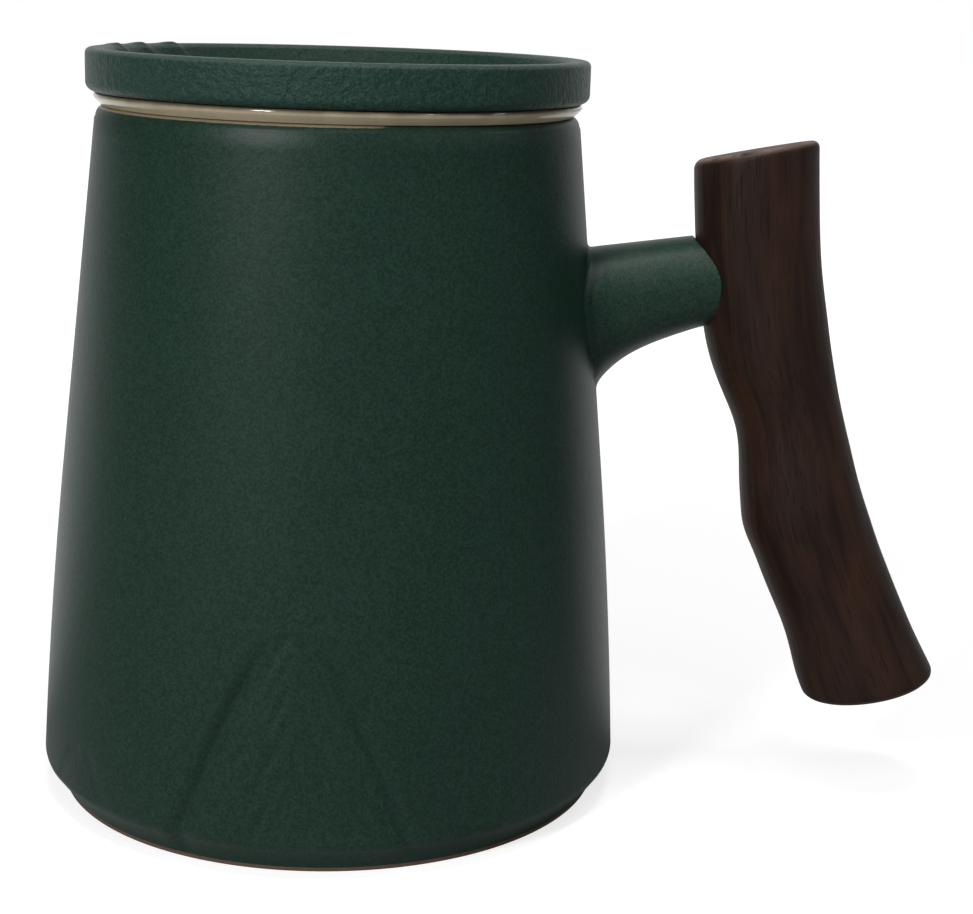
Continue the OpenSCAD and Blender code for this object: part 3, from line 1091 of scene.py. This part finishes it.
def infuser_profile():
    inner_r = BASKET_R - INFUSER_WALL
    corner_z = BASKET_Z + INFUSER_CORNER_R
    base_r = wall_r(corner_z) - INFUSER_CORNER_R
    inner_corner = INFUSER_CORNER_R - INFUSER_WALL
    floor_z = BASKET_Z + INFUSER_FLOOR
    inner_z = floor_z + inner_corner
    inner_base_r = wall_r(inner_z) - INFUSER_WALL - inner_corner
    flange_r = LIP_R + FLANGE_PROUD
    foot_r = flange_r - FLANGE_UNDERCUT - FLANGE_FOOT_IN
    foot_z = CUP_H + FLANGE_FOOT_ROUND
    under = math.degrees(math.atan2(FLANGE_UNDERCUT, FLANGE_T - FLANGE_ROUND))
    outside = [(r, BASKET_Z) for r in steps(0, base_r, pitch=3)[:-1]]
    outside += quarter(base_r, corner_z, INFUSER_CORNER_R, -90, 0, pitch=1.0)
    outside += [(wall_r(z), z) for z in steps(corner_z, CUP_H, pitch=3)[1:]]
    edge_z = LID_Z - FLANGE_ROUND
    mouth_z = LID_Z - MOUTH_ROUND
    flange = quarter(foot_r, foot_z, FLANGE_FOOT_ROUND, -90, -under, pitch=0.08)
    flange += quarter(flange_r - FLANGE_ROUND, edge_z, FLANGE_ROUND, -under, 90, pitch=0.08)
    flange += quarter(inner_r + MOUTH_ROUND, mouth_z, MOUTH_ROUND, 90, 180, pitch=0.15)
    inside = [(inner_r - (CUP_H - z) * INFUSER_DRAFT, z) for z in steps(CUP_H, inner_z, pitch=3)]
    inside += quarter(inner_base_r, inner_z, inner_corner, 0, -90, pitch=0.8)[1:]
    inside += [(r, floor_z) for r in steps(inner_base_r, 0, pitch=3)[1:]]
    return outside + flange + inside


def straining_holes():
    """Bars for all the holes, in rows round the wall and in rings in the base."""
    bm = bmesh.new()
    first_z = BASKET_Z + INFUSER_CORNER_R + 2 * HOLE_R
    for row in range(HOLE_ROWS):
        for i in range(HOLES_ROUND):
            turn = 2 * math.pi * (i + row % 2 / 2) / HOLES_ROUND
            outwards = Vector((math.cos(turn), math.sin(turn), 0))
            line = (Vector((0, 0, first_z + row * HOLE_PITCH)), outwards)
            rod(bm, HOLE_R, BASKET_R / 2, BASKET_R * 1.5, line, HOLE_SIDES)
    pitch = (wall_r(BASKET_Z) - INFUSER_CORNER_R) / (BASE_RINGS + 0.5)
    for ring in range(BASE_RINGS + 1):
        count = max(1, 6 * ring)
        for i in range(count):
            turn = 2 * math.pi * i / count
            place = Vector((ring * pitch * math.cos(turn), ring * pitch * math.sin(turn), BASKET_Z))
            rod(bm, HOLE_R, -1, INFUSER_FLOOR + 1, (place, Vector((0, 0, 1))), HOLE_SIDES)
    return to_object(bm, "holes")


def infuser():
    bm = bmesh.new()
    revolve(bm, infuser_profile(), INFUSER_SIDES)
    made = to_object(bm, "infuser")
    combine(made, straining_holes(), "DIFFERENCE")
    bm = reopen(made)
    bmesh.ops.remove_doubles(bm, verts=bm.verts, dist=0.005)
    finish_piece(made, bm, "infuser", "infuser_basket", (TAN_GLAZE,), one_material)


# ---------------------------------------------------------------- lid


def lid_profile():
    ring_r = BASKET_R - INFUSER_WALL - RING_PLAY
    ring_z = LID_Z - RING_H
    rim_inner = LID_R - RIM_W
    round_r = LID_R - RIM_ROUND
    round_z = LID_TOP_Z - RIM_ROUND
    side_z = LID_Z + LID_ROUND
    dish_r = rim_inner - DISH_SLOPE_W
    under = [(r, LID_Z) for r in steps(0, ring_r - RING_W, pitch=5)]
    ring = [(ring_r - RING_W, ring_z)]
    ring += quarter(ring_r - RING_ROUND, ring_z + RING_ROUND, RING_ROUND, -90, 0, pitch=0.15)
    ring += [(ring_r, LID_Z)]
    side = quarter(LID_R - LID_ROUND, side_z, LID_ROUND, -90, 0, pitch=0.25)
    side += [(LID_R, z) for z in steps(side_z, round_z, pitch=0.8)[1:-1]]
    rim = quarter(round_r, round_z, RIM_ROUND, 0, 90, pitch=0.2)
    rim += [(r, LID_TOP_Z) for r in steps(round_r, rim_inner, pitch=0.3)[1:-1]]
    shares = steps(0, 1, pitch=0.08)
    slope = [(rim_inner - DISH_SLOPE_W * u, LID_TOP_Z - DISH_DEPTH * rise(u)) for u in shares]
    dish = [(r, LID_TOP_Z - DISH_DEPTH) for r in steps(dish_r, 0, pitch=0.8)[1:]]
    return under + ring + side + rim + slope + dish


def ridge_height(point):
    """Height of the lid's ridges over a point of its top."""
    away = off_axis(point)
    inwards = LID_R - away
    if inwards > RIDGE_LEN:
        return 0.0
    direction = math.degrees(math.atan2(point.y, point.x)) % 360
    height = 0.0
    for at_rim, further_in in LID_RIDGES:
        line = at_rim + (further_in - at_rim) * inwards / RIDGE_TURN_LEN
        sideways = math.radians(direction - line) * away
        width = RIDGE_FAR_W if sideways > 0 else RIDGE_W
        full = RIDGE_RIM_H + RIDGE_MORE_H * rise((inwards - 1.5) / 3)
        height += bell(sideways / width) * full
    return height * rise((inwards - 0.2) / 1.6) * fade((inwards - RIDGE_FADE_FROM) / RIDGE_FADE_LEN)


def lid():
    bm = bmesh.new()
    revolve(bm, lid_profile(), LID_SIDES)
    for v in bm.verts:
        if v.co.z > LID_TOP_Z - DISH_DEPTH - 0.1:
            v.co.z += ridge_height(v.co)
    made = to_object(bm, "lid_dressed")
    bm = reopen(made)
    finish_piece(made, bm, "lid", "lid", (lid_green(),), one_material)


# ---------------------------------------------------------------- studio


# Softboxes: direction in degrees from -Y towards +X, height in degrees, distance, width and
# height of the face, watts
LAMPS = (
    ("key", -31, 28, 1.1, (0.17, 0.17), 7.8),
    ("right_front", 50, 30, 1.2, (0.12, 0.03), 1.0),
    ("right_side", 88, 30, 1.2, (0.12, 0.03), 1.1),
    ("front_top", 10, 54, 1.2, (0.40, 0.40), 2.2),
    ("overhead", 12, 84, 1.2, (0.30, 0.30), 5.0),
)
LAMP_AIM = Vector((0.0, 0.0, 0.08))


def lamp(name, direction, height, distance, face, watts):
    """A softbox that faces the middle of the mug."""
    light = bpy.data.lights.new(name, "AREA")
    light.shape = "RECTANGLE"
    light.size, light.size_y = face
    light.energy = watts
    holder = bpy.data.objects.new(name, light)
    scene.collection.objects.link(holder)
    turn = math.radians(direction)
    lift = math.radians(height)
    level = math.cos(lift)
    towards = Vector((math.sin(turn) * level, -math.cos(turn) * level, math.sin(lift)))
    holder.location = LAMP_AIM + towards * distance
    holder.rotation_euler = towards.to_track_quat("Z", "Y").to_euler()


def studio():
    """White where it is seen. The light that it gives is dim, and stronger from behind the mug."""
    world = bpy.data.worlds.new("studio")
    scene.world = world
    n = Nodes(world)
    path = n.node("ShaderNodeLightPath")
    _, depth, _ = n.split(n.node("ShaderNodeTexCoord").out("Generated"))
    behind = n.between(depth, 0.50, 0.98)
    dim = 0.07 + n.between(depth, 0.2, 1.0) * 0.38
    seen = path.out("Is Camera Ray").larger(path.out("Is Transmission Ray"))
    glossy = path.out("Is Glossy Ray") * (0.05 + behind * 1.05)
    strength = seen.larger(glossy.larger((1 - path.out("Is Glossy Ray")) * dim))
    white = n.node("ShaderNodeBackground", {}, {"Color": WHITE, "Strength": strength})
    n.node("ShaderNodeOutputWorld", {}, {"Surface": white})


def floor():
    """Pale paper that takes the mug's shadow. Glossy glaze mirrors it only behind and close by."""
    bm = bmesh.new()
    bmesh.ops.create_circle(bm, cap_ends=True, segments=96, radius=FLOOR_R)
    bmesh.ops.scale(bm, vec=(MM, MM, MM), verts=bm.verts)
    made = to_object(bm, "floor")
    material, n = new_material("pale_floor")
    x, y, _ = n.split(n.place())
    away = (x * x + y * y) ** 0.5
    path = n.node("ShaderNodeLightPath")
    far = n.between(away, 0.12, 0.6)
    close = n.between(away, 0.090, 0.058) * n.between(x, 0.030, 0.010) * 0.15
    behind = n.between(y / away.larger(0.001), 0.10, 0.60) * n.between(y, -0.01, 0.03)
    behind = behind * (0.9 - n.between(x, 0.0, 0.030) * 0.30)
    mirrored = path.out("Is Glossy Ray") * close.larger(behind)
    lift = path.out("Is Camera Ray") * (0.74 + far * 0.26) + mirrored
    paper = n.node("ShaderNodeBsdfDiffuse", {}, {"Color": PAPER})
    glow = n.node("ShaderNodeEmission", {}, {"Color": WHITE, "Strength": lift})
    both = n.node("ShaderNodeAddShader", {}, {0: paper, 1: glow})
    n.node("ShaderNodeOutputMaterial", {}, {"Surface": both})
    made.data.materials.append(material)


def camera():
    data = bpy.data.cameras.new("camera")
    data.sensor_width = 36
    data.lens = LENS
    data.shift_x, data.shift_y = SHIFT
    data.clip_start = 0.01
    holder = bpy.data.objects.new("camera", data)
    scene.collection.objects.link(holder)
    turned = Matrix.Rotation(CAMERA_TILT, 4, "X") @ Matrix.Rotation(CAMERA_ROLL, 4, "Z")
    holder.matrix_world = Matrix.Translation(CAMERA_PLACE) @ turned
    scene.camera = holder


scene.view_settings.view_transform = "Standard"
camera()
floor()
for row in LAMPS:
    lamp(*row)
studio()
TAN_GLAZE = glossy_tan()
cup()
grip()
infuser()
lid()
for node, material in (("handle_stud", stud_metal()), ("handle_cement", hard_cement())):
    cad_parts[node].data.materials.clear()
    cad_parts[node].data.materials.append(material)
